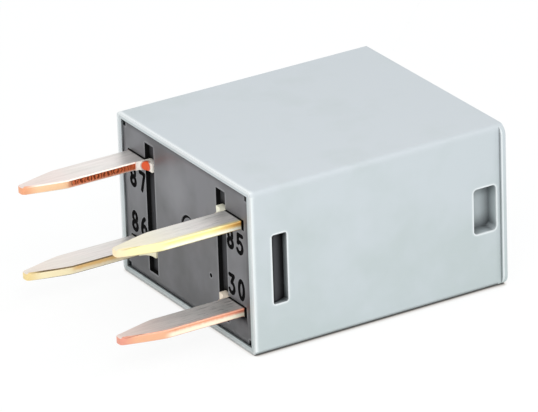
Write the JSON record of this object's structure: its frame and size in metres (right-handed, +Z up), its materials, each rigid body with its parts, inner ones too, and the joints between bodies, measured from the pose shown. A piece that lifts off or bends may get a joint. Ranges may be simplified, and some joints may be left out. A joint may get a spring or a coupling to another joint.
{
  "type": "automotive relay",
  "caption": "Plug-in automotive relay: moulded box cover, recessed base with flat blade terminals, and a hinged armature that closes one contact.",
  "frame": {"origin": "centre of the bounding box's underside, on the surface that the relay lies on", "axes": "+X along the plug axis from the blades to the closed end of the cover, +Y across the cover from terminals 30 and 85 to terminals 86 and 87, +Z up through the thickness"},
  "size_m": [0.0376, 0.023, 0.0153],
  "materials": {
    "cover_plastic": "moulded PBT, light blue-grey, fine satin",
    "base_plastic": "moulded PBT, dark grey, fine satin",
    "tinned_copper": "tin-plated copper strip with bare sheared edges",
    "tinned_brass": "tin-plated brass strip with bare sheared edges",
    "bobbin_plastic": "moulded nylon, near black",
    "enamelled_copper": "enamelled copper wire, layer wound",
    "soft_iron": "zinc-plated soft iron",
    "rivet_steel": "bright steel",
    "contact_silver": "silver alloy",
    "resistor_lacquer": "lacquered ceramic",
    "solder": "bright solder",
    "spring_bronze": "rolled bronze strip"
  },
  "bodies": {
    "housing": {"cover": "cover_plastic", "base": "base_plastic", "terminal_30": "tinned_copper", "terminal_87": "tinned_copper", "terminal_85": "tinned_brass", "terminal_86": "tinned_brass", "bobbin": "bobbin_plastic", "coil_winding": "enamelled_copper", "core": "soft_iron", "yoke": "soft_iron", "spring_rivets": "rivet_steel", "terminal_rivet": "rivet_steel", "fixed_contact": "contact_silver", "back_stop": "rivet_steel", "resistor_body": "resistor_lacquer", "resistor_caps": "tinned_copper", "resistor_leads": "tinned_copper", "solder_joints": "solder"},
    "armature": {"armature": "soft_iron", "armature_rivets": "rivet_steel", "contact_spring": "spring_bronze", "moving_contact": "contact_silver"}
  },
  "joints": [
    {"name": "armature_hinge", "type": "hinge", "parent": "housing", "child": "armature", "pos_m": [0.01255, -0.0078, 0.00765], "axis": [0, 0, 1], "range_deg": [0, 3.2], "stiffness_Nm_per_rad": 0.02, "springref_deg": -8.59, "deforming": ["contact_spring"]}
  ]
}
